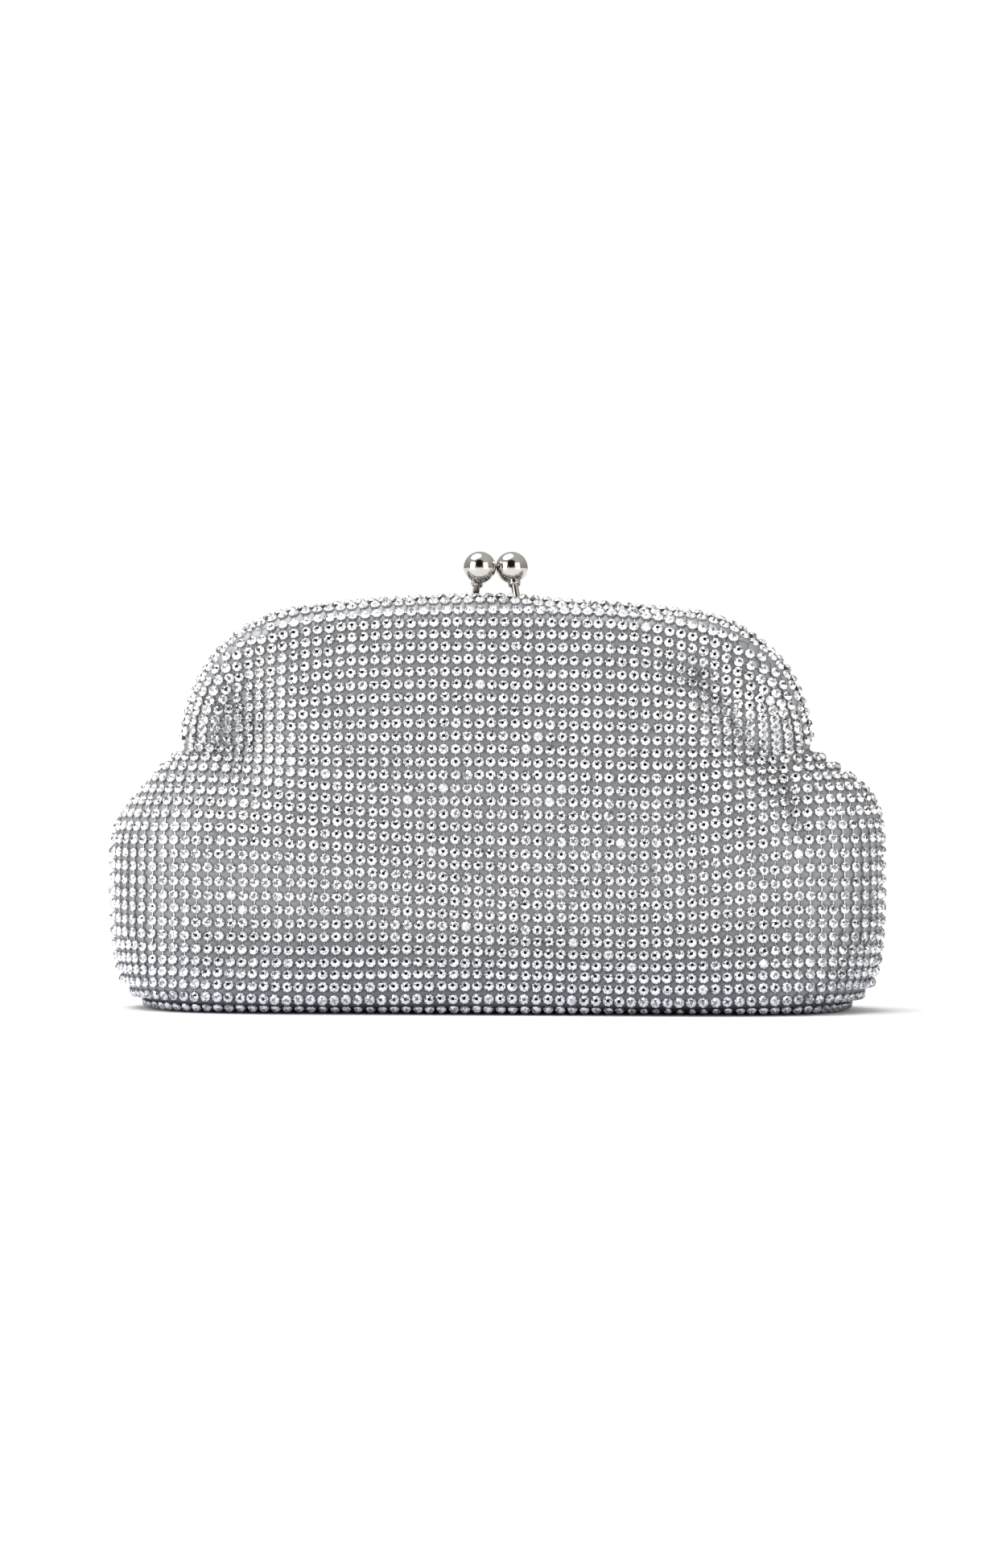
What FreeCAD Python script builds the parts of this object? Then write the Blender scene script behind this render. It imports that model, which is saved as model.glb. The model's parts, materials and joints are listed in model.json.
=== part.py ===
"""Evening bag: a kiss-lock frame clutch in crystal mesh, standing on its base. Millimetres.

The front faces -Y, +X is to the right as seen from the front, +Z is up, and the origin is the
middle of the base. Two arched steel channels, riveted to each other at both ends, carry a ball clasp
each. Crystal mesh covers the channels and hangs from them as a pouch with a boarded base, wadding and
a satin lining.
"""

import FreeCAD, Part
import math
import os

V = FreeCAD.Vector
X_AXIS, Y_AXIS, Z_AXIS = V(1, 0, 0), V(0, 1, 0), V(0, 0, 1)
FAR = 200.0

# Overall form
HINGE_Z = 78.0  # the rivets' height
TOP_Z = 127.0  # top of the covered frame
FRAME_HALF = 98.8  # half width over the covered frame at the rivets
# The pouch, as (height, half width, half depth)
STATIONS = [
    (0.0, 109.0, 29.8),
    (3.0, 112.5, 31.4),
    (9.0, 117.0, 30.2),
    (20.0, 119.2, 26.8),
    (36.0, 120.0, 24.8),
    (50.0, 119.8, 24.0),
    (60.0, 116.8, 23.3),
    (70.0, 109.8, 22.4),
    (78.0, 98.8, 21.2),
]
WIDE_POWER, DEEP_POWER = 3.0, 2.0  # of the pouch's superellipse sections
SECTION_POINTS = 28
SEAM_X = 105.0  # where the front and rear panels meet the gussets
NECK_X, NECK_Z, NECK_TOP_Z = 86.0, 70.0, 76.0  # the cloth that gathers beside a rivet, out to SEAM_X
# The front half above the rivets: how far its face stands from the mating plane, by height and by
# half width, and then how the cloth turns over the channel's edge
FACE_BY_Z = [(22.0, 70.0), (19.0, 93.0), (14.2, 111.0), (11.2, 119.0), (9.5, 123.4)]
EDGE_BY_Z = [(8.1, 126.1), (4.6, 127.3)]
FACE_BY_X = [(21.6, 0.0), (20.4, 48.0), (15.2, 78.0), (10.2, 92.5)]
EDGE_BY_X = [(8.0, 98.2), (4.6, 99.3)]
EDGE_Y_SHARE = (0.75, 0.45)  # how much of an inset the turning points take towards the plane
EDGE_OUT_SHARE = (0.75, 1.0)  # and how much towards the inside

# The arch of the frame, as three tangent arcs a side
TOP_RADIUS, TOP_TURN, CORNER_TURN, SIDE_TURN = 500.0, 7.0, 53.0, 30.0

# Layers, from the outside in
MESH = 2.4  # crystals included
WADDING = 1.55
LINING = 0.6
SLACK = 0.05  # between one layer and the next
UPPER_SLACK = 0.5  # between the cover and its wadding
BOARD = 1.8
FOLD_TOP_Z = HINGE_Z + 20.0  # the cloth below this folds as the bag opens
ARM_X = 88.0  # the covered arms of the frame lie outside this

# Steel channel of each half, given for the front half, whose y is negative
HALF_GAP = 0.2  # from the mating plane to the cover's lip
LIP = 0.6
CHANNEL_INSET = MESH + 0.1
CHANNEL_DEPTH = 6.0
CHANNEL_Y = (-5.2, -0.9)
WEB, FLANGE = 1.0, 0.8
ARM_END_Z = HINGE_Z + 5.5
COVER_END_Z = ARM_END_Z + 0.5
CORD_RADIUS = 1.2
POUCH_EDGE = CHANNEL_INSET + CHANNEL_DEPTH + 0.5  # the upper wadding and lining stop inside this

# Hinge
EAR_RADIUS, EAR_TOP_Z = 3.6, HINGE_Z + 8.0
FRONT_EAR_X, REAR_EAR_X, EAR = 94.8, 93.6, 1.0
RIVET_RADIUS, RIVET_CLEARANCE = 1.4, 0.05
RIVET_HEAD_RADIUS, RIVET_HEAD, RIVET_GAP = 2.4, 0.8, 0.1

# Ball clasps, given for the front half
BALL_RADIUS = 5.0
BALL_CENTRE = V(4.83, 1.6, 136.5)
FOOT_X = 6.9
STEM_RADIUS, SPIGOT_RADIUS, SPIGOT_FROM_CENTRE = 1.15, 0.88, 2.6
COLLAR_RADIUS, COLLAR_FROM_CENTRE = 1.95, (4.4, 6.2)
SHANK_RADIUS, TAIL_RADIUS, FLANGE_RADIUS, FOOT_DISC, FOOT_GAP = 0.95, 1.25, 2.1, 0.7, 0.12
COVER_HOLE_RADIUS, WEB_HOLE_RADIUS = 2.6, 1.05

# Slip pocket on the rear lining
POCKET_HALF, POCKET_Z, POCKET = 55.0, (18.0, 58.0), 0.6


def block(x, y, z):
    """A box between pairs of limits."""
    return Part.makeBox(x[1] - x[0], y[1] - y[0], z[1] - z[0], V(x[0], y[0], z[0]))


def above(z):
    return block((-FAR, FAR), (-FAR, FAR), (z, z + FAR))


def below(z):
    return block((-FAR, FAR), (-FAR, FAR), (z - FAR, z))


def to_rear(shape):
    """The rear half's piece, which is the front half's turned half round the Z axis."""
    turned = shape.copy()
    turned.rotate(V(0, 0, 0), Z_AXIS, 180)
    return turned


# ---- the pouch: walls lofted through superellipse sections ----


def section(z, half_width, half_depth):
    points = []
    for i in range(SECTION_POINTS):
        t = 2 * math.pi * (i + 0.5) / SECTION_POINTS
        c, s = math.cos(t), math.sin(t)
        x = math.copysign(abs(c) ** (2 / WIDE_POWER), c) * half_width
        y = math.copysign(abs(s) ** (2 / DEEP_POWER), s) * half_depth
        points.append(V(x, y, z))
    curve = Part.BSplineCurve()
    curve.interpolate(points, True)
    return Part.Wire([curve.toShape()])


def pouch(inset):
    """The pouch's whole volume, drawn in by inset all round but not at its base."""
    return Part.makeLoft([section(z, a - inset, b - inset) for z, a, b in STATIONS], True)


def pouch_wall(outer, inner, floor):
    """The wall between two insets of the pouch, above floor."""
    return pouch(outer).cut(pouch(inner)).common(above(floor))


SECTORS = {
    "front": block((-SEAM_X, SEAM_X), (-FAR, 0), (0, HINGE_Z)),
    "rear": block((-SEAM_X, SEAM_X), (0, FAR), (0, HINGE_Z)),
    "left": block((-FAR, -SEAM_X), (-FAR, FAR), (0, HINGE_Z)),
    "right": block((SEAM_X, FAR), (-FAR, FAR), (0, HINGE_Z)),
}


def necks(low, high):
    """The two blocks beside the rivets, between two heights."""
    return Part.makeCompound(
        [block(x, (-FAR, FAR), (low, high)) for x in ((-SEAM_X, -NECK_X), (NECK_X, SEAM_X))]
    )


def pouch_layers():
    """Walls and floor of the mesh, wadding and lining, by node name."""
    mesh_in = MESH
    wadding_out, wadding_in = mesh_in + SLACK, mesh_in + SLACK + WADDING
    lining_out = wadding_in + SLACK
    lining_in = lining_out + LINING
    board_z = MESH + SLACK
    lining_z = board_z + BOARD + SLACK
    made = {
        "base_panel": pouch(0).common(below(MESH)),
        "base_board": pouch(lining_out).common(above(board_z)).common(below(board_z + BOARD)),
        "lining_base": pouch(lining_out).common(above(lining_z)).common(below(lining_z + LINING)),
    }
    walls = {
        "mesh": pouch_wall(0, mesh_in, MESH),
        "wadding": pouch_wall(wadding_out, wadding_in, board_z),
        "lining": pouch_wall(lining_out, lining_in, lining_z + LINING + SLACK),
    }
    names = {"mesh": "{}_panel", "wadding": "wadding_{}", "lining": "lining_{}"}
    for layer, wall in walls.items():
        for side, sector in SECTORS.items():
            piece = wall.common(sector)
            if side in ("front", "rear"):
                piece = piece.cut(necks(NECK_Z, HINGE_Z + 1))
            key = names[layer].format(side if side in ("front", "rear") else side + "_gusset")
            made[key] = piece
    pocket_wall = pouch_wall(lining_in + SLACK, lining_in + SLACK + POCKET, 0)
    made["slip_pocket"] = pocket_wall.common(
        block((-POCKET_HALF, POCKET_HALF), (0, FAR), POCKET_Z)
    )
    neck_cloth = walls["mesh"].common(necks(NECK_Z + SLACK, NECK_TOP_Z))
    return made, neck_cloth


# ---- the arch of the frame ----


def arch_radii():
    """Corner and side radii that carry the arch from the top down to the rivets."""
    top, corner, total = (
        math.radians(a) for a in (TOP_TURN, TOP_TURN + CORNER_TURN, TOP_TURN + CORNER_TURN + SIDE_TURN)
    )
    across = FRAME_HALF - TOP_RADIUS * math.sin(top)
    down = TOP_Z - HINGE_Z - TOP_RADIUS * (1 - math.cos(top))
    a, b = math.sin(corner) - math.sin(top), math.sin(total) - math.sin(corner)
    c, d = math.cos(top) - math.cos(corner), math.cos(corner) - math.cos(total)
    side = (down * a - across * c) / (d * a - b * c)
    return (across - side * b) / a, side


CORNER_RADIUS, SIDE_RADIUS = arch_radii()


def arch_edges(inset):
    """The arch drawn in by inset, as edges in the XZ plane from the right rivet to the left."""
    turns = (TOP_TURN, CORNER_TURN, SIDE_TURN)
    radii = (TOP_RADIUS - inset, CORNER_RADIUS - inset, SIDE_RADIUS - inset)
    x, z, heading = 0.0, TOP_Z - inset, 0.0
    right = []
    for radius, turn in zip(radii, turns):
        steps = [heading + math.radians(turn) * k for k in (0, 0.5, 1)]
        centre_x, centre_z = x - radius * math.sin(heading), z - radius * math.cos(heading)
        points = [
            V(centre_x + radius * math.sin(h), 0, centre_z + radius * math.cos(h)) for h in steps
        ]
        right.append(Part.Arc(*points).toShape())
        x, z, heading = points[2].x, points[2].z, steps[2]
    left = [edge.mirror(V(0, 0, 0), X_AXIS) for edge in right]
    return list(reversed(right)) + left


def arch_wire(inset):
    return Part.Wire(Part.__sortEdges__(arch_edges(inset)))


def arch_prism(inset, y):
    """The space under the arch, down to the rivets' height, between two y limits."""
    ends = [V(s * (FRAME_HALF - inset), 0, HINGE_Z) for s in (-1, 1)]
    edges = arch_edges(inset) + [Part.makeLine(*ends)]
    face = Part.Face(Part.Wire(Part.__sortEdges__(edges)))
    face.translate(V(0, y[0], 0))
    return face.extrude(V(0, y[1] - y[0], 0))


def arch_band(outer, inner, y):
    return arch_prism(outer, y).cut(arch_prism(inner, y))


# ---- the front half above the rivets: a shallow bowl of mesh round the channel ----


def profile_prism(curve_points, closing, direction):
    """A prism whose front is a smooth curve through curve_points."""
    curve = Part.BSplineCurve()
    curve.interpolate(curve_points)
    corners = [curve_points[-1], *closing, curve_points[0]]
    lines = [Part.makeLine(a, b) for a, b in zip(corners, corners[1:])]
    face = Part.Face(Part.Wire([curve.toShape(), *lines]))
    return face.extrude(direction)


def outline(face, edge, inset):
    """A profile's (distance from the mating plane, height or half width) pairs, drawn in by inset."""
    turned = [
        (y - inset * y_share, out - inset * out_share)
        for (y, out), y_share, out_share in zip(edge, EDGE_Y_SHARE, EDGE_OUT_SHARE)
    ]
    return [(y - inset, out) for y, out in face[:-1]] + [
        (face[-1][0] - inset, face[-1][1] - inset * 0.3),
        *turned,
    ]


def bowl(inset):
    """The front half's volume above the rivets, drawn in by inset from its front and its arch."""
    side = outline(FACE_BY_Z, EDGE_BY_Z, inset)
    side_view = [V(-FAR, -y, z) for y, z in side]
    side_back = [V(-FAR, 1, side[-1][1] + 0.2), V(-FAR, 1, FACE_BY_Z[0][1])]
    half = outline(FACE_BY_X, EDGE_BY_X, inset)
    floor = FACE_BY_Z[0][1]
    plan = [V(-x, -y, floor) for y, x in reversed(half)] + [V(x, -y, floor) for y, x in half[1:]]
    reach = half[-1][1] + 0.2
    plan_back = [V(reach, 1, floor), V(-reach, 1, floor)]
    volume = arch_prism(inset, (-40, -HALF_GAP))
    volume = volume.common(profile_prism(side_view, side_back, V(2 * FAR, 0, 0)))
    return volume.common(profile_prism(plan, plan_back, V(0, 0, 80)))


def face_volume(inset):
    """The front half's volume behind its face alone, drawn in by inset."""
    far_edge = [(FACE_BY_Z[-1][0] - 1.0, TOP_Z)]
    side_view = [V(-FAR, -(y - inset), z) for y, z in FACE_BY_Z + far_edge]
    side_back = [V(-FAR, 20, TOP_Z), V(-FAR, 20, FACE_BY_Z[0][1])]
    half = FACE_BY_X + [(FACE_BY_X[-1][0] - 2.0, FRAME_HALF)]
    floor = FACE_BY_Z[0][1]
    plan = [V(-x, -(y - inset), floor) for y, x in reversed(half)]
    plan += [V(x, -(y - inset), floor) for y, x in half[1:]]
    plan_back = [V(FRAME_HALF, 20, floor), V(-FRAME_HALF, 20, floor)]
    across = profile_prism(side_view, side_back, V(2 * FAR, 0, 0))
    return across.common(profile_prism(plan, plan_back, V(0, 0, 80)))


def front_cover():
    """Mesh over the channel, with the lip that turns down the mating side, and its folding cloth."""
    skin = bowl(0).cut(bowl(MESH).common(block((-FAR, FAR), (-FAR, -HALF_GAP - LIP), (0, FAR))))
    skin = skin.cut(arch_prism(POUCH_EDGE, (-HALF_GAP - LIP - 0.5, 1)))
    fold_space = block((-ARM_X, ARM_X), (-FAR, FAR), (HINGE_Z, FOLD_TOP_Z))
    cover = skin.common(above(COVER_END_Z)).cut(fold_space)
    fold_z = (HINGE_Z + SLACK, FOLD_TOP_Z - SLACK)
    fold = skin.common(block((-ARM_X + SLACK, ARM_X - SLACK), (-FAR, FAR), fold_z))
    return cover, fold


def bowl_layer(outer, inner, z):
    """One inner layer of the front half, inside the channel, between two heights."""
    layer = face_volume(outer).cut(face_volume(inner))
    inside = arch_prism(POUCH_EDGE, (-40, CHANNEL_Y[1]))
    return layer.common(inside).common(block((-ARM_X, ARM_X), (-FAR, FAR), z))


# ---- frame, hinge and clasp ----


def ear(x, reach_y):
    """The flat end of a channel, round the rivet, with reach_y the channel's own limits."""
    disc = Part.makeCylinder(EAR_RADIUS, EAR, V(x, 0, HINGE_Z), X_AXIS)
    near, far = sorted(reach_y, key=abs)
    side = math.copysign(EAR_RADIUS, far)
    corners = [
        V(x, -side, HINGE_Z),
        V(x, near, ARM_END_Z),
        V(x, near, EAR_TOP_Z),
        V(x, far, EAR_TOP_Z),
        V(x, far, ARM_END_Z),
        V(x, side, HINGE_Z),
        V(x, -side, HINGE_Z),
    ]
    strap = Part.Face(Part.makePolygon(corners)).extrude(V(EAR, 0, 0))
    return disc.fuse(strap)


def channel(ear_x):
    """The front channel: web and two flanges, open to the inside of the bag, with an ear each end."""
    y0, y1 = CHANNEL_Y
    made = arch_band(CHANNEL_INSET, CHANNEL_INSET + WEB, CHANNEL_Y)
    for y in ((y0, y0 + FLANGE), (y1 - FLANGE, y1)):
        made = made.fuse(arch_band(CHANNEL_INSET, CHANNEL_INSET + CHANNEL_DEPTH, y))
    made = made.common(above(ARM_END_Z))
    for x in (ear_x, -ear_x - EAR):
        made = made.fuse(ear(x, CHANNEL_Y))
        bore = Part.makeCylinder(
            RIVET_RADIUS + RIVET_CLEARANCE, 3 * EAR, V(x - EAR, 0, HINGE_Z), X_AXIS
        )
        made = made.cut(bore)
    foot_y = sum(CHANNEL_Y) / 2
    made = made.cut(Part.makeCylinder(WEB_HOLE_RADIUS, 8, V(FOOT_X, foot_y, TOP_Z - 6), Z_AXIS))
    return made.removeSplitter()


def frame_cord():
    """The twisted paper cord that wedges the cloth edges in the channel."""
    inset = CHANNEL_INSET + WEB + CORD_RADIUS + 0.2
    y = sum(CHANNEL_Y) / 2
    path = arch_wire(inset)
    path.translate(V(0, y, 0))
    circle = Part.makeCircle(CORD_RADIUS, V(FRAME_HALF - inset, y, HINGE_Z), Z_AXIS)
    swept = path.makePipeShell([Part.Wire([circle])], True, False)
    foot_room = Part.makeCylinder(
        TAIL_RADIUS + 0.3, 4, V(FOOT_X, y, web_bottom() - FOOT_GAP - FOOT_DISC - 0.1), Z_AXIS
    )
    return swept.common(above(EAR_TOP_Z + 4)).cut(foot_room)


def web_bottom():
    """Height of the web's underside above a clasp's foot."""
    drop = TOP_RADIUS - math.sqrt(TOP_RADIUS**2 - FOOT_X**2)
    return TOP_Z - CHANNEL_INSET - WEB - drop


def rivet():
    """The right-hand hinge rivet, through both ears."""
    inner, outer = REAR_EAR_X - RIVET_GAP, FRONT_EAR_X + EAR + RIVET_GAP
    shank = Part.makeCylinder(RIVET_RADIUS, outer - inner, V(inner, 0, HINGE_Z), X_AXIS)
    heads = [
        Part.makeCylinder(RIVET_HEAD_RADIUS, RIVET_HEAD, V(x, 0, HINGE_Z), X_AXIS)
        for x in (inner - RIVET_HEAD, outer)
    ]
    return shank.fuse(heads).removeSplitter()


def clasp():
    """Stem, collar and ball of the front half. The stem leans over the mating plane."""
    foot_y = sum(CHANNEL_Y) / 2
    low = web_bottom()
    high = low + WEB + 2 * FOOT_GAP
    elbow = V(FOOT_X, foot_y, high + FOOT_DISC + 0.4)
    lean = BALL_CENTRE - elbow
    length = lean.Length
    lean.normalize()

    def along(from_centre):
        return BALL_CENTRE - lean * from_centre

    def rod(radius, low_from_centre, high_from_centre):
        return Part.makeCylinder(
            radius, low_from_centre - high_from_centre, along(low_from_centre), lean
        )

    tail_z = low - FOOT_GAP - FOOT_DISC
    foot = [
        (SHANK_RADIUS, tail_z, elbow.z - tail_z),
        (TAIL_RADIUS, tail_z, FOOT_DISC),
        (FLANGE_RADIUS, high, FOOT_DISC),
    ]
    shank, *discs = [Part.makeCylinder(r, h, V(FOOT_X, foot_y, z), Z_AXIS) for r, z, h in foot]
    stem = shank.fuse(
        [
            *discs,
            Part.makeSphere(STEM_RADIUS, elbow),
            rod(STEM_RADIUS, length, BALL_RADIUS + 0.02),
            rod(SPIGOT_RADIUS, BALL_RADIUS + 0.1, SPIGOT_FROM_CENTRE),
        ]
    )
    collar_far, collar_near = COLLAR_FROM_CENTRE[1], COLLAR_FROM_CENTRE[0]
    collar = rod(COLLAR_RADIUS, collar_far, collar_near)
    rim = [e for e in collar.Edges if (e.CenterOfMass - along(collar_far)).Length < 0.01]
    collar = collar.makeFillet(0.5, rim)
    collar = collar.cut(rod(STEM_RADIUS + 0.02, collar_far + 1, 0))
    collar = collar.cut(Part.makeSphere(BALL_RADIUS + 0.02, BALL_CENTRE))
    ball = Part.makeSphere(BALL_RADIUS, BALL_CENTRE)
    ball = ball.cut(rod(SPIGOT_RADIUS + 0.02, BALL_RADIUS + 1, SPIGOT_FROM_CENTRE - 0.2))
    return {"stem": stem, "collar": collar, "ball": ball}


def build():
    nodes, neck_cloth = pouch_layers()
    cover, fold = front_cover()
    hole = Part.makeCylinder(
        COVER_HOLE_RADIUS, 12, V(FOOT_X, sum(CHANNEL_Y) / 2, TOP_Z - 7), Z_AXIS
    )
    cover = cover.cut(hole)
    wadding_out = MESH + UPPER_SLACK
    lining_out = wadding_out + WADDING + SLACK
    lining_in = lining_out + LINING
    upper, lower = (FOLD_TOP_Z, FAR), (HINGE_Z + SLACK, FOLD_TOP_Z)
    half = {
        "cover": cover,
        "cover_wadding": bowl_layer(wadding_out, wadding_out + WADDING, upper),
        "cover_lining": bowl_layer(lining_out, lining_in, upper),
        "fold_lining": bowl_layer(lining_out, lining_in, lower),
        "frame_cord": frame_cord(),
        **{"clasp_" + name: shape for name, shape in clasp().items()},
    }
    for name, shape in half.items():
        nodes["front_" + name] = shape
        nodes["rear_" + name] = to_rear(shape)
    nodes["front_frame"] = channel(FRONT_EAR_X)
    nodes["rear_frame"] = to_rear(channel(REAR_EAR_X))
    front_space = block((-FAR, FAR), (-FAR, 0), (0, FAR))
    rear_space = block((-FAR, FAR), (0, FAR), (0, FAR))
    nodes["front_fold"] = Part.makeCompound([fold, neck_cloth.common(front_space)])
    nodes["rear_fold"] = Part.makeCompound([to_rear(fold), neck_cloth.common(rear_space)])
    nodes["right_hinge_rivet"] = rivet()
    nodes["left_hinge_rivet"] = rivet().mirror(V(0, 0, 0), X_AXIS)
    return nodes


def main():
    os.makedirs("parts", exist_ok=True)
    for name, shape in sorted(build().items()):
        solids = shape.Solids
        good = solids and all(s.isValid() and s.isClosed() and s.Volume > 0 for s in solids)
        state = "ok" if good else "BAD"
        print(f"{name:24s} {state:3s} solids {len(solids)} volume {shape.Volume:9.1f}")
        kept = solids[0] if len(solids) == 1 else Part.makeCompound(solids)
        kept.exportStep(f"parts/{name}.step")


main()
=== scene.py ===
"""Evening bag: a kiss-lock frame clutch in crystal mesh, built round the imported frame.

The outer cloth, its crystals and its links all follow one surface. A point of that surface is given
by a row of the mesh, t across it, and the side of the bag. Lengths on the surface are in
millimetres, and meshes are written in metres.
"""

import json
import math

import bpy
import numpy as np
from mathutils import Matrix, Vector


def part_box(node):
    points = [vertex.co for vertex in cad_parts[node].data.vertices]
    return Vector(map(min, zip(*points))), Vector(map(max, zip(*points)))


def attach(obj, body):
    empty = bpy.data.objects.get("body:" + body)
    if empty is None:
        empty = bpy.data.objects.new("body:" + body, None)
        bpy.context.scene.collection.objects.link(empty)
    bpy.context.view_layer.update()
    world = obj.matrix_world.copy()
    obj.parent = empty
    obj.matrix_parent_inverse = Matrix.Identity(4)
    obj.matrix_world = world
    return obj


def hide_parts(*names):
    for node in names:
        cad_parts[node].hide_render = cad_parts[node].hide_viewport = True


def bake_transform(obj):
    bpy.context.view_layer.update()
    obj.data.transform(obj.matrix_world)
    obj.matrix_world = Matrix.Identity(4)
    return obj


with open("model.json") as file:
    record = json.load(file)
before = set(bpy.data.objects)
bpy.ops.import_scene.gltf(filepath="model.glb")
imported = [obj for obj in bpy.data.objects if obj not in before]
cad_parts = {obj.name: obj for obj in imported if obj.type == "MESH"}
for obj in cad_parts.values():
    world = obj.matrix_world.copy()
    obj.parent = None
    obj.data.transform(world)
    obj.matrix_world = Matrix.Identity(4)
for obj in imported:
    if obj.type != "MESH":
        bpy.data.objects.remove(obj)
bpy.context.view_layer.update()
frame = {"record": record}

MM = 0.001

HINGE_Z = frame["record"]["behaviour"]["joints"][0]["pos_m"][2] / MM
CRYSTAL_STAND = 1.2  # how much of the CAD cover's width is crystal, outside its cloth
FRAME_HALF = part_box("front_cover")[1].x / MM - CRYSTAL_STAND
TOP_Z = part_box("front_cover")[1].z / MM

# Crystal mesh
ACROSS_PITCH, UP_PITCH = 3.62, 4.02
LOW_CLOSER = 0.07  # how much closer the lowest rows are
CRYSTAL_SIDES = 8
# A crystal in its cup, from the mesh up: (radius, height, turned by half a side)
CRYSTAL_RINGS = ((1.42, -0.15, 0.0), (1.68, 0.32, 0.0), (1.60, 0.74, 0.0), (1.10, 1.32, 0.5))
TABLE_RADIUS, TABLE_HEIGHT = 0.56, 1.70
# painted shade: extra shares of facets painted dark, for crystals facing along the bag and in hollows
SIDEWAYS_SHADE, HOLLOW_SHADE = 0.38, 0.30  # extra shares of the facets that are dark
MESH_THICKNESS = 0.45
LINING_INSET = 4.4
# The rows along the arch: (distance inside it, distance from the mating plane, lean forward)
EDGE_ROWS = ((0.0, 1.95, 0.05), (1.03, 5.7, 0.59))
UP_LINK, ACROSS_LINK = 0.14, 0.07  # half widths of the mesh's links
LINK_HALF_HEIGHT, LINK_STAND = 0.10, 0.22  # and how far their middles stand off the cloth
PLACE_CHANCE, TILT_CHANCE = 0.08, 0.045  # how far crystals stray from their places and upright
EDGE_NEXT, EDGE_CLEAR = 4.0, 3.3  # how near the rows of the face come to it, at their middle and ends
FACE_CLEAR, HEM_INSET = 2.2, 5.2  # where the face's cloth ends, and the hem that it covers
FIRST_ROW = 4.7  # height of the lowest row of the face
ARCH_ROW_SPARE = 8.0  # length of the arch that its rows leave free, both ends together
BASE_ROW_INSET = 1.3  # how far in from the base's edge its row of crystals is
BASE_MARGIN = (5.2, 4.8)  # how far in the crystals under the base stop, across and in depth

# How a row of the mesh leaves the level, in millimetres
ROW_SAG, ROW_WAVE = 3.2, 0.35
GATHER_ROW, GATHERS = 82.0, (0.40, 0.13)  # the rows close in on one row at the shoulders
WIDEST = 122.0  # wider than half the bag at any height

# The pouch and the covered halves: (height, half depth at the middle) and (height, half width)
DEPTHS = [
    (1.7, 28.6),
    (2.4, 30.2),
    (4.0, 31.0),
    (9.0, 29.8),
    (16.0, 26.8),
    (24.0, 25.0),
    (36.0, 24.2),
    (50.0, 24.0),
    (60.0, 23.3),
    (70.0, 22.4),
    (78.0, 21.2),
    (93.0, 18.6),
    (111.0, 14.0),
    (119.0, 11.2),
    (123.4, 9.5),
    (127.0, 8.6),
]
WIDTHS = [
    (1.7, 108.2),
    (2.4, 109.8),
    (4.0, 111.8),
    (9.0, 116.2),
    (20.0, 118.6),
    (36.0, 119.3),
    (50.0, 119.2),
    (58.0, 117.8),
    (64.0, 114.6),
    (70.0, 109.6),
    (74.0, 105.2),
    (78.0, 100.0),
    (80.0, 98.6),
]
# How square the pouch's plan is, low down and at the rivets: (power of the width, of the depth)
LOW_PLAN, HINGE_PLAN = (8.0, 0.62), (3.2, 0.5)
EDGE_RADIUS, LIP = 6.0, 2.2  # how the cloth turns over the channel, and the strip facing its twin
COVER_SPAN, COVER_LEAST = 106.0, 8.4  # half width of the cover's bulge, and its least half depth
BASE_Z = 1.7
SLUMP = 2.4  # how far the pouch's shoulders lean to the right
ARCH_SAG = 1.3  # how much lower the cloth lies over the right of the frame

# The lining, board cover and pocket
CLOTH_THICKNESS = 0.3
BASE_LINING_ROW, BASE_LINING_FIT = 12.0, (0.955, 0.93, 1.0)  # the outline it is cut to, and its share
POCKET_HEM, POCKET_STAND = 6.0, 0.45  # depth of the turned hem, and how far the panel stands off

# The view that the bag is shown in, in metres and degrees
CAMERA_DISTANCE, FRAME_HEIGHT = 1.4, 0.4863
CAMERA_AZIMUTH, CAMERA_ELEVATION = 4.0, 1.2
CAMERA_AIM = (0.001, 0.0, 0.0695)

# The light: strengths, and (name, place, power) of the panels
OVERHEAD_STRENGTH, OVERHEAD_ANGLE = 2.7, 50.0
PANEL_SIZE = (0.8, 0.9)
PANELS = (("left", (-0.85, -0.70, 0.42), 5.5), ("right", (0.85, -0.75, 0.42), 3.3))
LIGHT_AIM = (0.0, 0.0, 0.07)

# The arch of the frame, as three tangent arcs a side
TOP_RADIUS, TOP_TURN, CORNER_TURN, SIDE_TURN = 500.0, 7.0, 53.0, 30.0


# ---- curves ----


def smoothstep(low, high, value):
    """From 0 at low to 1 at high, level at both."""
    t = np.clip((np.asarray(value, float) - low) / (high - low), 0.0, 1.0)
    return t * t * (3.0 - 2.0 * t)


def lip_at(z):
    """Width of the cloth's strip that faces the other half. There is none below the rivets."""
    return LIP * smoothstep(HINGE_Z + 1.0, HINGE_Z + 8.0, z)


def curve_through(points):
    """A function that runs smoothly through (position, value) pairs without overshooting."""
    xs, ys = np.array(points, float).T
    widths, rises = np.diff(xs), np.diff(ys)
    slopes = rises / widths
    tangents = np.zeros(len(xs))
    tangents[0], tangents[-1] = slopes[0], slopes[-1]
    same_way = slopes[:-1] * slopes[1:] > 0
    mean = 2.0 * slopes[:-1] * slopes[1:] / np.where(same_way, slopes[:-1] + slopes[1:], 1.0)
    tangents[1:-1] = np.where(same_way, mean, 0.0)

    def value(x):
        x = np.clip(np.asarray(x, float), xs[0], xs[-1])
        i = np.clip(np.searchsorted(xs, x) - 1, 0, len(widths) - 1)
        t = (x - xs[i]) / widths[i]
        start = (1 + 2 * t) * (1 - t) ** 2 * ys[i] + t * (1 - t) ** 2 * widths[i] * tangents[i]
        end = t * t * (3 - 2 * t) * ys[i + 1] + t * t * (t - 1) * widths[i] * tangents[i + 1]
        return start + end

    return value


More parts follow.
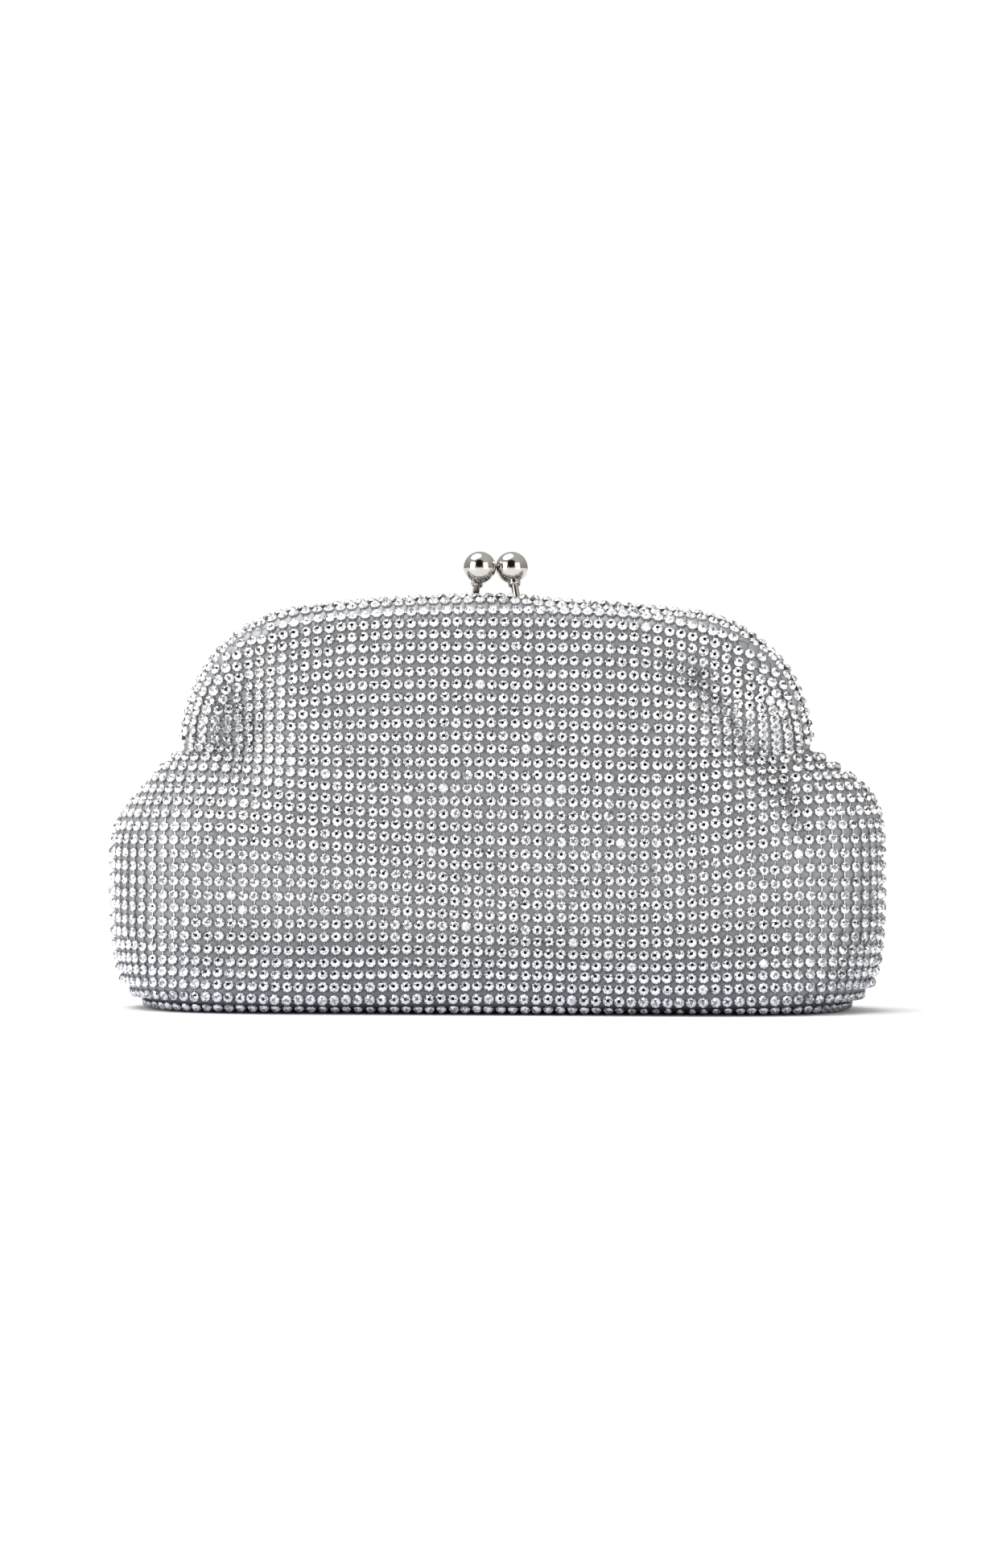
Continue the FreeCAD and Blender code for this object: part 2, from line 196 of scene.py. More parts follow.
def arch_points(inset=0.0, steps=60):
    """The frame's arch as (half width, height) from the middle of its top down to the rivets."""
    top, corner, total = np.radians(np.cumsum([TOP_TURN, CORNER_TURN, SIDE_TURN]))
    across = FRAME_HALF - TOP_RADIUS * math.sin(top)
    down = TOP_Z - HINGE_Z - TOP_RADIUS * (1 - math.cos(top))
    a, b = math.sin(corner) - math.sin(top), math.sin(total) - math.sin(corner)
    c, d = math.cos(top) - math.cos(corner), math.cos(corner) - math.cos(total)
    side = (down * a - across * c) / (d * a - b * c)
    radii = (TOP_RADIUS, (across - side * b) / a, side)
    points, x, z, heading = [], 0.0, TOP_Z - inset, 0.0
    for radius, turned in zip(radii, (top, corner, total)):
        centre_x = x - (radius - inset) * math.sin(heading)
        centre_z = z - (radius - inset) * math.cos(heading)
        h = np.linspace(heading, turned, steps)
        run = np.stack(
            [centre_x + (radius - inset) * np.sin(h), centre_z + (radius - inset) * np.cos(h)], 1
        )
        points.append(run if not points else run[1:])
        (x, z), heading = run[-1], turned
    return np.concatenate(points)


def whole_arch(inset=0.0, sag=ARCH_SAG):
    """The arch from its left end to its right, as (x, height), with the sag of its right half."""
    right = arch_points(inset)
    points = np.concatenate([right[::-1] * (-1, 1), right[1:]])
    x = points[:, 0]
    points[:, 1] -= sag * smoothstep(0.0, 26.0, x) * (1 - smoothstep(80.0, 92.0, x))
    return points


ARCH = whole_arch()
half_depth = curve_through(DEPTHS)
pouch_width = curve_through(WIDTHS)


def arch_width(z, hand, arch):
    """Half width of an arch at a height, on the left (hand < 0) or the right."""
    right = arch[arch[:, 0] >= 0][::-1]
    left = arch[arch[:, 0] <= 0]
    on_left = np.interp(z, left[:, 1], -left[:, 0])
    return np.where(hand < 0, on_left, np.interp(z, right[:, 1], right[:, 0]))


def half_width(z, hand):
    """Where the front cloth meets the rear, or the halves' mating edge above the rivets."""
    blend = smoothstep(HINGE_Z, HINGE_Z + 3.0, z)
    pouch = pouch_width(z) + np.sign(hand) * SLUMP * np.exp(-(((z - 67.0) / 8.0) ** 2))
    return pouch * (1 - blend) + arch_width(z, hand, ARCH) * blend


def inside_arch(x, z):
    """Distance in from the arch."""
    x, z = np.atleast_1d(x), np.atleast_1d(z)
    gaps = (x[..., None] - ARCH[:, 0]) ** 2 + (z[..., None] - ARCH[:, 1]) ** 2
    return np.sqrt(gaps.min(-1))


# ---- the cloth's surface ----

# Soft hollows pressed into the cloth: (x, z, half width, half height, lean, depth)
HOLLOWS = {
    -1: [
        (-79.0, 86.0, 9.0, 17.0, 0.15, 3.4),
        (72.0, 88.0, 6.0, 18.0, -0.55, 2.6),
        (58.0, 103.0, 16.0, 7.0, 0.1, 1.5),
        (90.0, 66.0, 5.0, 17.0, -0.35, 2.2),
        (-58.0, 66.0, 12.0, 30.0, 0.1, -1.2),
        (6.0, 62.0, 40.0, 24.0, 0.0, 1.2),
    ],
    1: [
        (76.0, 86.0, 9.0, 16.0, -0.2, 3.0),
        (-74.0, 84.0, 6.0, 18.0, 0.5, 2.6),
        (30.0, 58.0, 34.0, 20.0, 0.0, 1.4),
    ],
}


def hollow(x, z, side):
    """How far the cloth is pressed in by the hollows."""
    total = 0.0
    for cx, cz, wide, high, lean, depth in HOLLOWS[side]:
        across = (x - cx - lean * (z - cz)) / wide
        total = total + depth * np.exp(-(across**2) - ((z - cz) / high) ** 2)
    return total


def ripple(x, z, side):
    """How far the cloth stands in from its plain form."""
    shift = 0.7 * side
    total = 0.45 * np.sin(x / 17.0 + 1.3 + shift) * np.sin(z / 14.0 + 0.4)
    total += 0.30 * np.sin(x / 9.1 - z / 23.0 + 2.0 * shift)
    total += 0.22 * np.sin(z / 7.0 + x / 31.0)
    return total + hollow(x, z, side)


def plan(share, z):
    """Depth of the pouch as a share of its middle's, by the share of its width and the height."""
    up = smoothstep(40.0, HINGE_Z, z)
    power, root = (low + (high - low) * up for low, high in zip(LOW_PLAN, HINGE_PLAN))
    return (1.0 - np.clip(share, 0.0, 1.0) ** power) ** root


def cloth_depth(x, z, side):
    """Distance of the cloth from the mating plane."""
    depth, width = half_depth(z), np.maximum(half_width(z, x), 1.0)
    pouch = depth * plan(np.abs(x) / width, z)
    inside = inside_arch(x, z)
    edge = np.sqrt(1.0 - (1.0 - np.clip(inside / EDGE_RADIUS, 0.0, 1.0)) ** 2)
    face = depth * np.sqrt(1.0 - np.clip(np.abs(x) / COVER_SPAN, 0.0, 1.0) ** 3)
    lip = lip_at(z)
    cover = lip + (np.maximum(face, COVER_LEAST) - lip) * edge
    above = smoothstep(HINGE_Z - 1.0, HINGE_Z + 14.0, z)
    plain = pouch * (1 - above) + cover * above
    off_edge = smoothstep(0.0, 12.0, width - np.abs(x)) * smoothstep(1.0, 12.0, z)
    off_edge = off_edge * (1 - above + above * smoothstep(3.0, 12.0, inside))
    return plain - ripple(x, z, side) * off_edge


def row_height(x, row, side):
    """Height of a row of the mesh, named by its height at the middle of the bag."""
    x = x * -side
    follow = smoothstep(66.0, TOP_Z, row) ** 1.6 * x**2 / 1120.0
    reach = np.where(row > GATHER_ROW, 45.0, 36.0)
    pinch = (GATHER_ROW - row) * np.exp(-(((row - GATHER_ROW) / reach) ** 2))
    gather = GATHERS[0] * smoothstep(42.0, 102.0, x) + GATHERS[1] * smoothstep(42.0, 102.0, -x)
    sag = ROW_SAG * smoothstep(-70.0, 60.0, x) * np.exp(-(((row - 50.0) / 30.0) ** 2))
    wave = ROW_WAVE * np.sin(x / 17.0 + row / 12.0 + 1.0) * smoothstep(TOP_Z, 110.0, row)
    return row - follow + pinch * gather - sag + wave


def row_end(row, sign, side):
    """Half width at which a row meets the bag's edge, on one hand."""
    low, high = np.zeros_like(row), np.full_like(row, WIDEST)
    for _ in range(40):
        middle = (low + high) / 2
        beyond = middle > half_width(row_height(sign * middle, row, side), sign)
        low, high = np.where(beyond, low, middle), np.where(beyond, middle, high)
    return low


def surface(row, t, side):
    """Points of the cloth for arrays of rows and t from -pi/2 to pi/2, on side -1 or 1."""
    row, t = np.broadcast_arrays(np.asarray(row, float), np.asarray(t, float))
    rows, back = np.unique(row, return_inverse=True)
    right, left = row_end(rows, 1, side)[back], row_end(rows, -1, side)[back]
    right, left = right.reshape(row.shape), left.reshape(row.shape)
    x = np.where(t > 0, right, left) * np.sin(t)
    z = row_height(x, row, side)
    flat_x, flat_z = x.ravel(), z.ravel()
    y = side * cloth_depth(flat_x, flat_z, side).reshape(row.shape)
    return np.stack([x, y, z], -1)


def surface_frame(row, t, side, step=0.4):
    """Point, direction across, direction up and outward normal at each place."""
    t = np.clip(t, -math.pi / 2 + 0.012, math.pi / 2 - 0.012)
    across = surface(row, t + 0.01, side) - surface(row, t - 0.01, side)
    top = np.minimum(row + step, TOP_Z - 0.05)
    upward = surface(top, t, side) - surface(row - step, t, side)
    across /= np.linalg.norm(across, axis=-1, keepdims=True)
    normal = np.cross(across, upward) * -side
    normal /= np.linalg.norm(normal, axis=-1, keepdims=True)
    upward = np.cross(normal, across)
    return surface(row, t, side), across, upward, normal


def lengths_along(line):
    """Distance along a line of points, from its start."""
    return np.concatenate([[0], np.cumsum(np.linalg.norm(np.diff(line, axis=0), axis=1))])


def evenly_up():
    """Rows about a pitch apart up the middle of the bag, from the base's edge to the arch."""
    fine = np.linspace(BASE_Z + 0.1, TOP_Z - EDGE_NEXT, 900)
    run = lengths_along(surface(fine, np.zeros_like(fine), -1))
    closer = 1.0 - LOW_CLOSER * (1.0 - smoothstep(30.0, 60.0, fine[1:]))
    run = np.concatenate([[0], np.cumsum(np.diff(run) / closer)])
    first = np.interp(FIRST_ROW, fine, run)
    count = int(round((run[-1] - first) / UP_PITCH)) + 1
    return np.interp(np.linspace(first, run[-1], count), run, fine)


ROWS = evenly_up()


def row_run(row, side, clear):
    """A row in small steps: t, the distance from the middle, and whether the arch is clear."""
    fine = np.linspace(-math.pi / 2, math.pi / 2, 361)
    line = surface(np.full_like(fine, row), fine, side)
    run = lengths_along(line)
    run -= np.interp(0.0, fine, run)
    usable = (inside_arch(line[:, 0], line[:, 2]) > clear) | (line[:, 2] < HINGE_Z + 2.0)
    return fine, run, usable


def evenly_across(row, side):
    """t and column number of each crystal of a row, spaced from the middle.

    The last fifth of the row makes up the difference to a whole number of crystals."""
    fine, run, usable = row_run(row, side, EDGE_CLEAR)
    places, columns = [0.0], [0]
    for hand in (-1, 1):
        reach = np.abs(run[usable & (fine * hand >= 0)]).max()
        reach = min(reach, np.abs(run[0 if hand < 0 else -1]) - ACROSS_PITCH / 2)
        count = int(round(reach / ACROSS_PITCH))
        k = np.arange(1, count + 1)
        settle = smoothstep(0.8, 1.0, k / count) * (reach - count * ACROSS_PITCH)
        places += list(hand * (k * ACROSS_PITCH + settle))
        columns += list(hand * k)
    return np.interp(places, run, fine), np.array(columns)


# ---- meshes ----


def make_piece(name, points, faces, material, smooth=False):
    """A mesh object from points in millimetres."""
    mesh = bpy.data.meshes.new(name)
    mesh.from_pydata((np.asarray(points) * MM).tolist(), [], faces)
    mesh.polygons.foreach_set("use_smooth", [smooth] * len(mesh.polygons))
    mesh.materials.append(material)
    piece = bpy.data.objects.new(name, mesh)
    bpy.context.collection.objects.link(piece)
    return piece


def grid_faces(rows, columns, start=0, flip=False):
    """Four-sided faces between the points of a grid."""
    faces = []
    for r in range(rows - 1):
        for c in range(columns - 1):
            a = start + r * columns + c
            face = (a, a + 1, a + columns + 1, a + columns)
            faces.append(face[::-1] if flip else face)
    return faces


class Patches:
    """Grids of points gathered into one mesh, with the place of each point in the weave."""

    def __init__(self):
        self.points, self.weave, self.faces, self.count = [], [], [], 0

    def add(self, grid, weave, flip):
        rows, columns = grid.shape[:2]
        self.faces += grid_faces(rows, columns, self.count, flip)
        self.points.append(grid.reshape(-1, 3))
        self.weave.append(np.asarray(weave, float).reshape(-1, 2))
        self.count += rows * columns

    def piece(self, name, material, smooth=True):
        made = make_piece(name, np.concatenate(self.points), self.faces, material, smooth)
        mesh = made.data
        corners = np.empty(len(mesh.loops), int)
        mesh.loops.foreach_get("vertex_index", corners)
        layer = mesh.uv_layers.new(name="weave")
        layer.data.foreach_set("uv", np.concatenate(self.weave)[corners].ravel())
        return made


def thicken(piece, thickness):
    """Gives a sheet its thickness, on its inner side."""
    solid = piece.modifiers.new("thickness", "SOLIDIFY")
    solid.thickness = thickness * MM
    solid.offset = -1
    return piece


def ring_faces(sides, first, second, turned):
    """Faces between two rings of points; triangles where the second is turned by half a side."""
    faces = []
    for i in range(sides):
        j = (i + 1) % sides
        a, b, c, d = first + i, first + j, second + i, second + j
        if turned > 0:
            faces += [(a, b, c), (b, d, c)]
        elif turned < 0:
            faces += [(a, b, d), (a, d, c)]
        else:
            faces.append((a, b, d, c))
    return faces


def crystal_shape():
    """One crystal in its cup: points, faces and the part each face belongs to."""
    rings = [*CRYSTAL_RINGS, (TABLE_RADIUS, TABLE_HEIGHT, 0.0)]
    points, faces, parts = [], [], []
    for radius, height, turned in rings:
        for i in range(CRYSTAL_SIDES):
            a = 2 * math.pi * (i + turned) / CRYSTAL_SIDES
            points.append((radius * math.cos(a), radius * math.sin(a), height))
    for k in range(len(rings) - 1):
        band = ring_faces(
            CRYSTAL_SIDES, k * CRYSTAL_SIDES, (k + 1) * CRYSTAL_SIDES, rings[k + 1][2] - rings[k][2]
        )
        faces += band
        parts += [k] * len(band)
    faces.append(tuple(range((len(rings) - 1) * CRYSTAL_SIDES, len(rings) * CRYSTAL_SIDES)))
    parts.append(len(rings) - 1)
    return np.array(points), faces, np.array(parts)


def facet_tones_with_painted_shade(parts, aims, shade, draw):
    """How light each facet looks, with painted shade and painted highlights. The table and a few
    facets round it, more of them up and to the left, are painted dark as shade and dark reflection,
    where they would catch no light; the cup below is grey, also painted darker with the extra shade.
    A few whole crystals are painted bright all over as a painted highlight.

    aims are the facets' directions in the cloth, one row a crystal, and shade is the extra share of
    each crystal's facets that are painted dark as shade."""
    shape = aims.shape
    level = 0.86 + 0.14 * draw.random(shape)
    chance = draw.random(shape)
    # painted shade: facets aimed up and to the left are more often painted dark
    shaded = 0.5 + 0.5 * np.cos(aims - 2.2)
    painted_dark_share = shade[:, None]
    tones = np.where(parts == 0, 0.42 - painted_dark_share, level)
    tones = np.where(parts == 1, 0.60 - painted_dark_share, tones)
    girdle_dark = chance < 0.04 + 0.32 * shaded**2 + painted_dark_share
    crown_dark = chance < 0.14 + 0.60 * shaded**2 + painted_dark_share
    tones = np.where((parts == 2) & girdle_dark, 0.10 + 0.8 * chance, tones)
    tones = np.where((parts == 3) & crown_dark, 0.02 + 0.4 * chance, tones)
    # painted dark reflection: most tables are painted near black
    tones = np.where(parts == 4, np.where(chance < 0.10, 0.45, 0.02), tones)
    # painted highlight: a few whole crystals are painted bright, as if lit all over
    clear = draw.random((shape[0], 1)) < 0.02
    return np.where(clear & (parts > 1), 0.62 + 0.38 * chance, tones)


def set_crystals(name, places, across, upward, normal, material, seed, side=None):
    """Crystals on the cloth, each turned and tilted a little by chance.

    More of the facets are painted dark, as painted shade, where the crystals face along the bag and
    in the hollows of a side."""
    draw = np.random.default_rng(seed)
    shape, faces, parts = crystal_shape()
    count = len(places)
    turn = draw.random(count) * 2 * math.pi / CRYSTAL_SIDES
    shift = draw.normal(0.0, PLACE_CHANCE, (count, 2))
    places = places + across * shift[:, :1] + upward * shift[:, 1:]
    tilt = draw.normal(0.0, TILT_CHANCE, (count, 2))
    normal = normal + across * tilt[:, :1] + upward * tilt[:, 1:]
    normal /= np.linalg.norm(normal, axis=1, keepdims=True)
    across = across - normal * (across * normal).sum(1, keepdims=True)
    across /= np.linalg.norm(across, axis=1, keepdims=True)
    upward = np.cross(normal, across)
    c, s = np.cos(turn)[:, None], np.sin(turn)[:, None]
    first, second = across * c + upward * s, upward * c - across * s
    points = (
        places[:, None]
        + shape[None, :, :1] * first[:, None]
        + shape[None, :, 1:2] * second[:, None]
        + shape[None, :, 2:] * normal[:, None]
    )
    every = [tuple(i * len(shape) + v for v in face) for i in range(count) for face in faces]
    piece = make_piece(name, points.reshape(-1, 3), every, material)
    middles = np.array([shape[list(face)].mean(0) for face in faces])
    aims = np.arctan2(middles[:, 1], middles[:, 0])[None] + turn[:, None]
    # painted shade by how a crystal faces, and by the hollows it sits in
    shade = SIDEWAYS_SHADE * smoothstep(0.5, 1.0, 1.0 - np.abs(normal[:, 1]))
    if side is not None:
        pressed = hollow(places[:, 0], places[:, 2], side)
        shade = shade + HOLLOW_SHADE * smoothstep(0.8, 2.6, pressed)
    tone_with_painted_shade = piece.data.attributes.new("tone_with_painted_shade", "FLOAT", "FACE")
    tone_with_painted_shade.data.foreach_set("value", facet_tones_with_painted_shade(parts, aims, shade, draw).ravel())
    return piece


LINK_BOX = np.array([(x, y, z) for x in (0, 1) for y in (-1, 1) for z in (-1, 1)], float)
LINK_FACES = [(0, 1, 3, 2), (4, 6, 7, 5), (0, 4, 5, 1), (2, 3, 7, 6), (0, 2, 6, 4), (1, 5, 7, 3)]


def set_links(name, starts, ends, normals, widths, material):
    """Bright bars of the mesh between neighbouring cups."""
    run = ends - starts
    side = np.cross(normals, run)
    side /= np.linalg.norm(side, axis=1, keepdims=True)
    points = (
        starts[:, None]
        + normals[:, None] * LINK_STAND
        + LINK_BOX[None, :, :1] * run[:, None]
        + LINK_BOX[None, :, 1:2] * side[:, None] * widths[:, None, None]
        + LINK_BOX[None, :, 2:] * normals[:, None] * LINK_HALF_HEIGHT
    )
    faces = [tuple(8 * i + v for v in face) for i in range(len(starts)) for face in LINK_FACES]
    return make_piece(name, points.reshape(-1, 3), faces, material)


# ---- materials ----

WHITE = (1.0, 1.0, 1.0)


class Nodes:
    """A material's node tree, with short ways to add and join nodes."""

    def __init__(self, name):
        self.material = bpy.data.materials.new(name)
        self.material.use_nodes = True
        self.tree = self.material.node_tree
        self.shader = self.tree.nodes["Principled BSDF"]

    def add(self, kind, inputs=(), **settings):
        node = self.tree.nodes.new(kind)
        for key, value in settings.items():
            setattr(node, key, value)
        for key, value in dict(inputs).items():
            if isinstance(value, bpy.types.NodeSocket):
                self.tree.links.new(value, node.inputs[key])
            else:
                node.inputs[key].default_value = value
        return node

    def math(self, operation, a, b=0.0):
        return self.add("ShaderNodeMath", {0: a, 1: b}, operation=operation).outputs[0]

    def ramp(self, factor, stops):
        node = self.add("ShaderNodeValToRGB", {"Fac": factor})
        elements = node.color_ramp.elements
        while len(elements) < len(stops):
            elements.new(0.5)
        for element, (place, colour) in zip(elements, stops):
            element.position = place
            element.color = (*colour, 1.0)
        return node.outputs["Color"]

    def noise(self, scale, detail=3.0, stretch=(1.0, 1.0, 1.0)):
        place = self.add("ShaderNodeTexCoord").outputs["Object"]
        mapped = self.add("ShaderNodeMapping", {"Vector": place, "Scale": stretch})
        found = self.add(
            "ShaderNodeTexNoise", {"Vector": mapped.outputs[0], "Scale": scale, "Detail": detail}
        )
        return found.outputs["Fac"]

    def height(self, low, high):
        """From 0 at one height of the bag to 1 at another, both in millimetres."""
        place = self.add("ShaderNodeTexCoord").outputs["Object"]
        z = self.add("ShaderNodeSeparateXYZ", {"Vector": place}).outputs["Z"]
        bounds = {"Value": z, "From Min": low * MM, "From Max": high * MM}
        return self.add("ShaderNodeMapRange", bounds).outputs["Result"]

    def tint(self, colour, shade):
        """One colour multiplied by another."""
        node = self.add("ShaderNodeMix", data_type="RGBA", blend_type="MULTIPLY")
        node.inputs["Factor"].default_value = 1.0
        self.tree.links.new(colour, node.inputs["A"])
        self.tree.links.new(shade, node.inputs["B"])
        return node.outputs["Result"]

    def range(self, value, low, high):
        """A value from 0 to 1 spread over another range."""
        node = self.add("ShaderNodeMapRange", {"Value": value, "To Min": low, "To Max": high})
        return node.outputs["Result"]

    def bump(self, height, strength, distance):
        node = self.add(
            "ShaderNodeBump", {"Height": height, "Strength": strength, "Distance": distance}
        )
        self.tree.links.new(node.outputs["Normal"], self.shader.inputs["Normal"])

    def set(self, **inputs):
        for key, value in inputs.items():
            socket = self.shader.inputs[key.replace("_", " ")]
            if isinstance(value, bpy.types.NodeSocket):
                self.tree.links.new(value, socket)
            else:
                socket.default_value = value
        return self


def crystal_material():
    """Foiled crystal: each facet's colour holds painted shade and painted highlights, and all are
    painted darker and cooler near the base, as shade and a painted reflection of the shaded floor.
    """
    n = Nodes("crystal")
    tone_with_painted_shade = n.add("ShaderNodeAttribute", attribute_name="tone_with_painted_shade").outputs["Fac"]
    colour = n.ramp(
        tone_with_painted_shade,
        [
            (0.0, (0.008, 0.009, 0.011)),
            (0.2, (0.05, 0.052, 0.058)),
            (0.42, (0.20, 0.205, 0.215)),
            (0.6, (0.40, 0.405, 0.415)),
            (0.84, (0.86, 0.86, 0.87)),
            (1.0, (0.96, 0.96, 0.97)),
        ],
    )
    # painted shade and painted cool reflection, darker towards the base
    low = n.ramp(
        n.height(1.0, 30.0),
        [(0.0, (0.60, 0.61, 0.71)), (0.25, (0.88, 0.89, 0.94)), (1.0, WHITE)],
    )
    n.set(Base_Color=n.tint(colour, low), Metallic=0.25)
    n.set(Roughness=n.range(n.noise(900.0), 0.10, 0.24))
    n.set(IOR=2.2, Coat_Weight=1.0, Coat_Roughness=0.04, Coat_IOR=2.0)
    return n.material


def cloth_material():
    """Grey metal mesh, with a raised plate between each four crystals, painted darker round the
    crystals and nearly black at the base as painted shade.
    """
    n = Nodes("metal_mesh")
    weave = n.add("ShaderNodeUVMap", uv_map="weave").outputs["UV"]
    split = n.add("ShaderNodeSeparateXYZ", {"Vector": weave})
    waves = [
        n.math("ABSOLUTE", n.math("SINE", n.math("MULTIPLY", split.outputs[k], math.pi)))
        for k in ("X", "Y")
    ]
    plate = n.math("POWER", n.math("MULTIPLY", *waves), 0.6)
    grain = n.noise(2600.0, 2.0)
    # painted shade: the mesh is painted darker round each crystal, lighter on the raised plates
    # between
    colour = n.ramp(plate, [(0.0, (0.12, 0.124, 0.13)), (0.55, (0.33, 0.335, 0.345))])
    shade = n.ramp(n.noise(60.0), [(0.3, (0.86, 0.87, 0.89)), (0.7, WHITE)])
    # painted shade: nearly black at the base, lighter up to about 32 mm
    low = n.ramp(
        n.height(2.0, 32.0),
        [(0.0, (0.05, 0.05, 0.07)), (0.14, (0.66, 0.67, 0.72)), (1.0, WHITE)],
    )
    n.set(Base_Color=n.tint(n.tint(colour, shade), low), Metallic=0.35)
    n.set(Roughness=n.range(grain, 0.38, 0.55))
    n.bump(n.math("ADD", plate, n.math("MULTIPLY", grain, 0.15)), 0.7, 0.0005)
    return n.material


def link_material():
    """The bright bars between the cups, painted darker near the base as shade."""
    n = Nodes("mesh_links")
    colour = n.ramp(n.noise(500.0), [(0.3, (0.70, 0.71, 0.73)), (0.7, (0.93, 0.93, 0.95))])
    # painted shade, darker towards the base
    low = n.ramp(
        n.height(2.0, 32.0),
        [(0.0, (0.3, 0.3, 0.34)), (0.3, (0.62, 0.63, 0.67)), (1.0, WHITE)],
    )
    n.set(Base_Color=n.tint(colour, low), Metallic=0.5, Roughness=n.range(n.noise(1500.0), 0.2, 0.4))
    return n.material


def nickel_material():
    n = Nodes("polished_nickel")
    shade = n.ramp(n.noise(140.0), [(0.3, (0.50, 0.47, 0.435)), (0.7, (0.55, 0.52, 0.485))])
    n.set(Base_Color=shade, Metallic=1.0, Roughness=n.range(n.noise(700.0, 5.0), 0.035, 0.10))
    n.bump(n.noise(4200.0, 4.0), 0.04, 0.0001)
    return n.material


def steel_material(name, colour, rough):
    """Steel brushed along the bag."""
    n = Nodes(name)
    grain = n.noise(3000.0, 3.0, (0.02, 1.0, 1.0))
    low = tuple(0.88 * c for c in colour)
    n.set(Base_Color=n.ramp(grain, [(0.3, low), (0.7, colour)]), Metallic=1.0)
    n.set(Roughness=n.range(grain, rough, rough + 0.16))
    n.bump(grain, 0.15, 0.0001)
    return n.material


def satin_material():
    """Silver-grey satin: long floats, a fine twill and soft pull marks."""
    n = Nodes("satin")
    weave = n.add("ShaderNodeUVMap", uv_map="weave").outputs["UV"]
    split = n.add("ShaderNodeSeparateXYZ", {"Vector": weave})
    slant = n.math("ADD", split.outputs["X"], n.math("MULTIPLY", split.outputs["Y"], 0.4))
    twill = n.math("SINE", n.math("MULTIPLY", slant, 90.0))
    cloud = n.noise(46.0, 4.0, (1.0, 1.0, 0.35))
    colour = n.ramp(cloud, [(0.25, (0.40, 0.41, 0.44)), (0.75, (0.62, 0.63, 0.66))])
    n.set(Base_Color=colour, Roughness=n.range(cloud, 0.34, 0.5), Sheen_Weight=0.5)
    n.set(Sheen_Roughness=0.3, Anisotropic=0.5)
    n.bump(n.math("ADD", n.math("MULTIPLY", twill, 0.06), cloud), 0.35, 0.0008)
    return n.material


def paper_material():
    """Brown paper twisted into cord."""
    n = Nodes("paper_cord")
    place = n.add("ShaderNodeTexCoord").outputs["Object"]
    twist = n.add(
        "ShaderNodeTexWave",
        {"Vector": place, "Scale": 420.0, "Distortion": 1.5, "Detail": 2.0},
        bands_direction="DIAGONAL",
    ).outputs["Fac"]
    colour = n.ramp(twist, [(0.2, (0.36, 0.27, 0.17)), (0.8, (0.62, 0.50, 0.34))])
    n.set(Base_Color=colour, Roughness=n.range(n.noise(800.0), 0.75, 0.95))
    n.bump(twist, 0.6, 0.0003)
    return n.material


def board_material():
    """Grey board, with the flecks of its pulp."""
    n = Nodes("grey_board")
    fleck = n.noise(700.0, 6.0)
    colour = n.ramp(fleck, [(0.35, (0.24, 0.235, 0.225)), (0.65, (0.36, 0.355, 0.34))])
    n.set(Base_Color=colour, Roughness=n.range(fleck, 0.8, 0.95))
    n.bump(fleck, 0.3, 0.0002)
    return n.material


# ---- the bag ----

# Each cloth as it is cut: ((width, length) in metres, both estimates, and area in square metres)
SIDES = {"front": -1, "rear": 1}
INNER_ARCH = whole_arch(6.4, sag=0.0)
CHANNEL_DEPTH, LINING_LOW = 5.5, 5.4


def usable_ends(row, side, clear):
    """The least and greatest t of a row that keep clear of the arch by a distance."""
    fine, _, usable = row_run(row, side, clear)
    return fine[usable].min(), fine[usable].max()


def make_face(side):
    """The face of one side, as a grid over the rows of the mesh, and its place in the weave."""
    low = np.linspace(BASE_Z, ROWS[0], 5)[:-1]
    between = (ROWS[:-1, None] + np.diff(ROWS)[:, None] * [0, 1 / 3, 2 / 3]).ravel()
    rows = np.concatenate([low, between, [ROWS[-1], ROWS[-1] + 0.9]])
    ends = np.array([usable_ends(row, side, FACE_CLEAR) for row in rows])
    share = 0.5 - 0.5 * np.cos(np.linspace(0, math.pi, 241))
    t = ends[:, :1] + (ends[:, 1:] - ends[:, :1]) * share
    grid = surface(np.broadcast_to(rows[:, None], t.shape), t, side)
    run = np.array([lengths_along(line) for line in grid])
    run -= np.array([[np.interp(0.0, *pair)] for pair in zip(t, run)])
    up = np.interp(rows, [BASE_Z, *ROWS, TOP_Z], [-1, *range(len(ROWS)), len(ROWS) + 1])
    return grid, np.stack([run / ACROSS_PITCH, up[:, None] + 0 * run], -1)


def make_hem(side):
    """The cloth along the arch: it comes out from under the face and turns over the channel."""
    insets = (HEM_INSET, 4.2, 3.2, 2.3, 1.5, 0.8, 0.3, 0.0)
    lines = []
    for inset in insets:
        line = whole_arch(inset)
        depth = cloth_depth(line[:, 0], line[:, 1], side) - 0.12 * (inset > FACE_CLEAR)
        lines.append(np.stack([line[:, 0], side * depth, line[:, 1]], -1))
    for inset in (0.0, 1.4):
        line = whole_arch(inset)
        lines.append(np.stack([line[:, 0], 0 * line[:, 0] + side * 0.3, line[:, 1]], -1))
    grid = np.array(lines)
    along = lengths_along(ARCH) / ACROSS_PITCH
    down = np.array([*insets, -2.0, -3.4])[:, None] / UP_PITCH
    return grid, np.stack([along + 0 * down, down + 0 * along], -1)


def make_cloth(half, side, material):
    """The mesh of one side, from the base's edge over the channel to the mating plane."""
    patches = Patches()
    patches.add(*make_face(side), flip=side > 0)
    patches.add(*make_hem(side), flip=side > 0)
    return thicken(patches.piece(f"{half}_mesh", material), MESH_THICKNESS)


def crystal_places(side):
    """Places of one side's crystals, keyed by (row, column)."""
    keys, rows, ts = [], [], []
    for j, row in enumerate(ROWS):
        t, columns = evenly_across(row, side)
        keys += [(j, int(c)) for c in columns]
        rows += [row] * len(t)
        ts += list(t)
    return keys, surface_frame(np.array(rows), np.array(ts), side)


